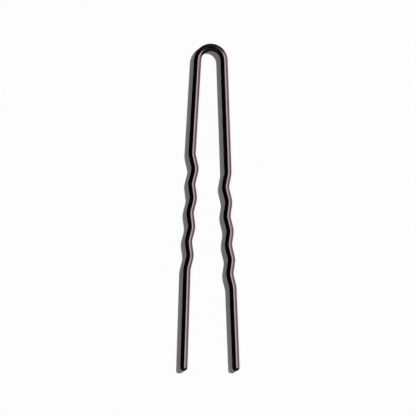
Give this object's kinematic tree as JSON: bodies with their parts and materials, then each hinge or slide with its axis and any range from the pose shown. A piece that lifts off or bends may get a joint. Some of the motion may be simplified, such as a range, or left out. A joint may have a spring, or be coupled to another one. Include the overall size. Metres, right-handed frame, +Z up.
{
  "type": "waved hair pin",
  "caption": "Open U-shaped spring-wire hair pin with crimped, slightly splayed legs and rounded points; dark gloss lacquer over steel wire; holds a tuft of hair.",
  "frame": {"origin": "bottom centre of the pin's box: halfway between the points across, halfway from bow to points, on the surface it lies on", "axes": "+X across the legs, from the left leg to the right; +Y along the pin towards the bow; +Z up from the surface the pin lies on"},
  "size_m": [0.0118, 0.065, 0.0014],
  "materials": {
    "steel_wire": "drawn spring-steel wire",
    "lacquer": "dipped and stoved black-brown gloss lacquer"
  },
  "bodies": {
    "bow": {"bow_wire": "steel_wire", "bow_lacquer": "lacquer"},
    "left_leg": {"left_leg_wire": "steel_wire", "left_leg_lacquer": "lacquer"},
    "right_leg": {"right_leg_wire": "steel_wire", "right_leg_lacquer": "lacquer"}
  },
  "joints": [
    {"name": "left_leg_flex", "type": "hinge", "parent": "bow", "child": "left_leg", "pos_m": [-0.00285, 0.02233, 0.00072], "axis": [0, 0, -1], "range_deg": [-4.5, 8], "stiffness_Nm_per_rad": 1.04},
    {"name": "right_leg_flex", "type": "hinge", "parent": "bow", "child": "right_leg", "pos_m": [0.00304, 0.02226, 0.00072], "axis": [0, 0, 1], "range_deg": [-4.5, 8], "stiffness_Nm_per_rad": 1.04}
  ]
}
